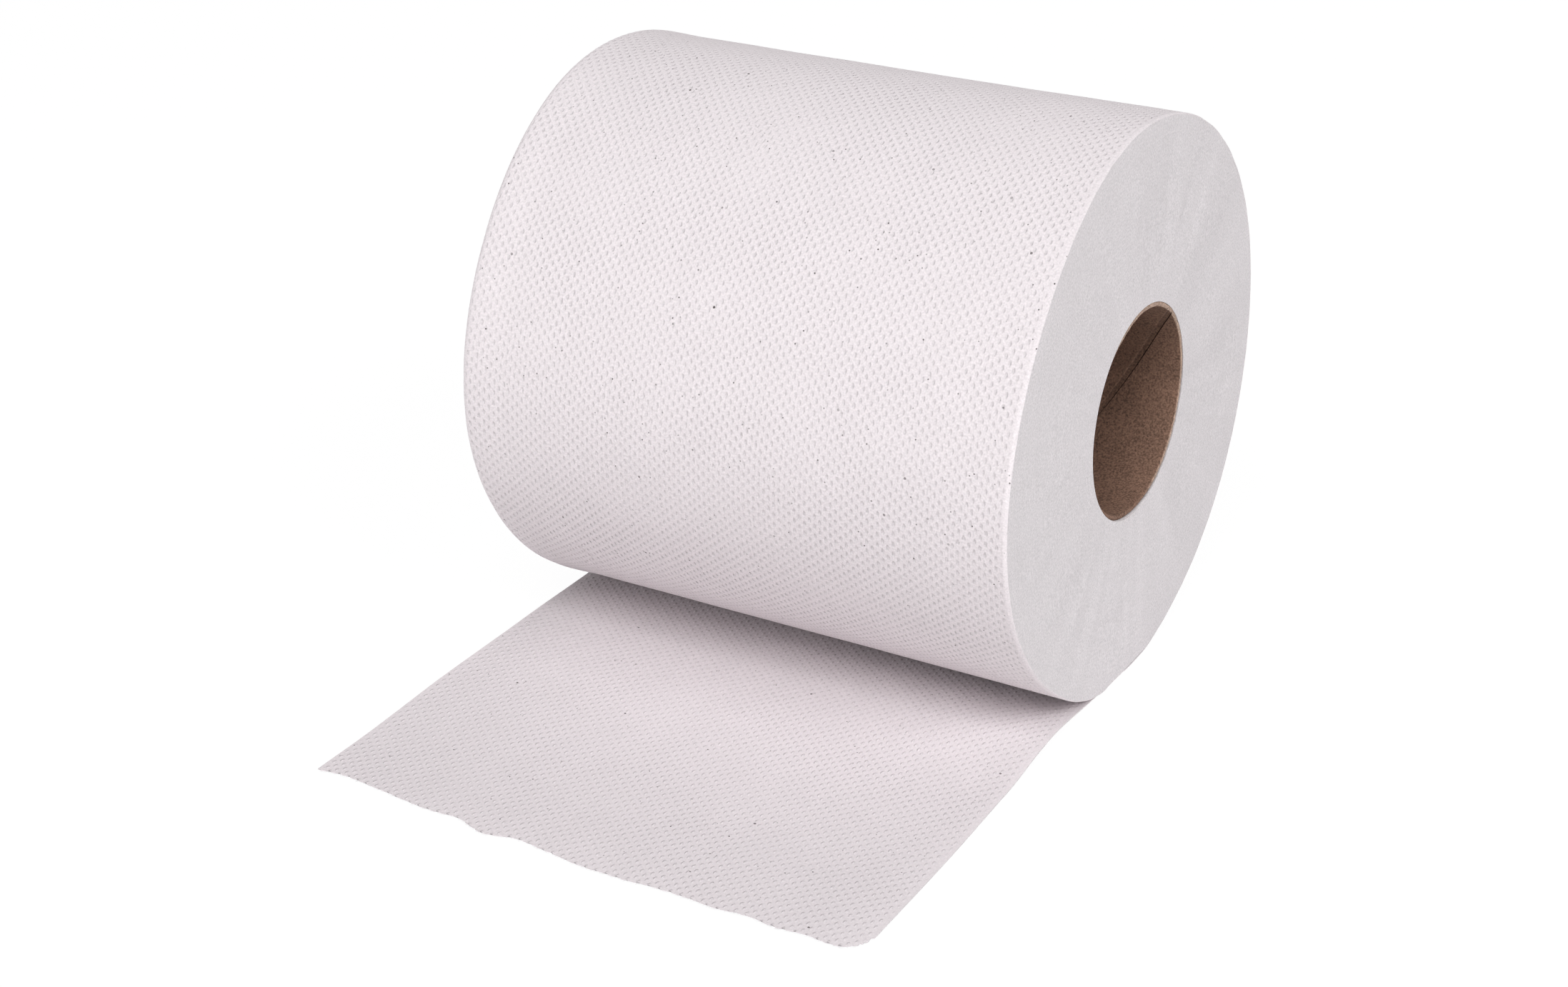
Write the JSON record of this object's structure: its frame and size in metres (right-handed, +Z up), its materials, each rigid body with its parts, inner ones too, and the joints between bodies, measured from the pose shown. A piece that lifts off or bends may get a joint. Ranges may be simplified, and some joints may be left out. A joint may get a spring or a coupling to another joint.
{
  "type": "hand towel roll",
  "caption": "Wide roll of embossed hand towel paper on an open cardboard core, lying on its side with its loose end drawn out flat along the floor and torn across.",
  "frame": {"origin": "on the floor under the roll's axis, halfway between its end faces", "axes": "+X along the core's bore, +Z up, and the loose end runs towards -Y"},
  "size_m": [0.2015, 0.2921, 0.1951],
  "materials": {
    "paper": "soft matt, finely embossed",
    "core_board": "matt grey-brown board"
  },
  "bodies": {
    "root": {"paper_web": "paper", "core_tube": "core_board"}
  },
  "joints": []
}
